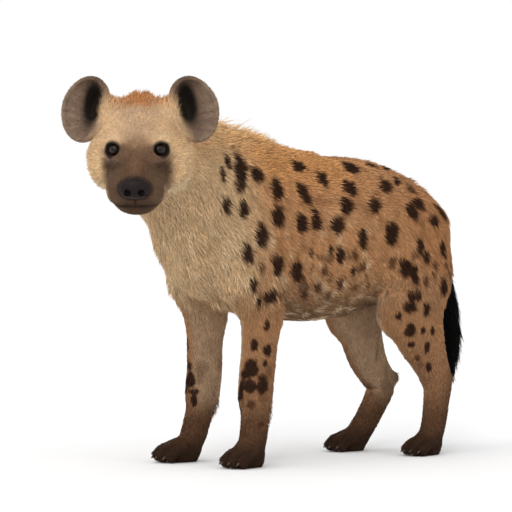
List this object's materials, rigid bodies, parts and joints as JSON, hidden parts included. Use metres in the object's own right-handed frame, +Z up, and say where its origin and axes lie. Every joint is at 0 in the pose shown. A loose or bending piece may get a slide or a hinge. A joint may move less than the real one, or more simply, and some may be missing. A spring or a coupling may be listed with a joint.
{
  "type": "spotted hyena",
  "caption": "Life-size standing spotted hyena, head turned to its left: sloping back, large round ears, spotted coat, dark muzzle and a hanging black-tufted tail.",
  "frame": {"origin": "middle of the underside of the whole animal, on the floor it stands on", "axes": "+Z up; the head end towards -Y; the animal's left towards +X"},
  "size_m": [0.4102, 1.2128, 0.9308],
  "materials": {
    "coat": "orange-tan fur with dark brown spots",
    "cream": "pale cream fur",
    "face": "short brown-grey fur",
    "leg": "short brown fur",
    "foot": "very short dark brown fur",
    "ear": "short grey-brown fur",
    "tuft": "long black hair",
    "nose": "moist dark skin",
    "eye": "glossy dark brown",
    "claw": "dark horn"
  },
  "bodies": {
    "root": {"barrel": "coat", "chest": "coat", "claw_forepaw_left_middle_inner": "claw", "claw_forepaw_left_middle_outer": "claw", "claw_forepaw_left_outer_inner": "claw", "claw_forepaw_left_outer_outer": "claw", "claw_forepaw_right_middle_inner": "claw", "claw_forepaw_right_middle_outer": "claw", "claw_forepaw_right_outer_inner": "claw", "claw_forepaw_right_outer_outer": "claw", "claw_hindpaw_left_middle_inner": "claw", "claw_hindpaw_left_middle_outer": "claw", "claw_hindpaw_left_outer_inner": "claw", "claw_hindpaw_left_outer_outer": "claw", "claw_hindpaw_right_middle_inner": "claw", "claw_hindpaw_right_middle_outer": "claw", "claw_hindpaw_right_outer_inner": "claw", "claw_hindpaw_right_outer_outer": "claw", "ear_left": "ear", "ear_right": "ear", "eye_left": "eye", "eye_right": "eye", "foreleg_left_lower": "leg", "foreleg_left_upper": "leg", "foreleg_right_lower": "leg", "foreleg_right_upper": "leg", "forepaw_left": "foot", "forepaw_right": "foot", "head": "face", "hindleg_left_lower": "leg", "hindleg_left_upper": "leg", "hindleg_right_lower": "leg", "hindleg_right_upper": "leg", "hindpaw_left": "foot", "hindpaw_right": "foot", "jaw": "face", "neck": "cream", "nose": "nose", "rump": "coat", "tail_base": "coat", "tail_middle": "tuft", "tail_tip": "tuft"}
  },
  "joints": []
}
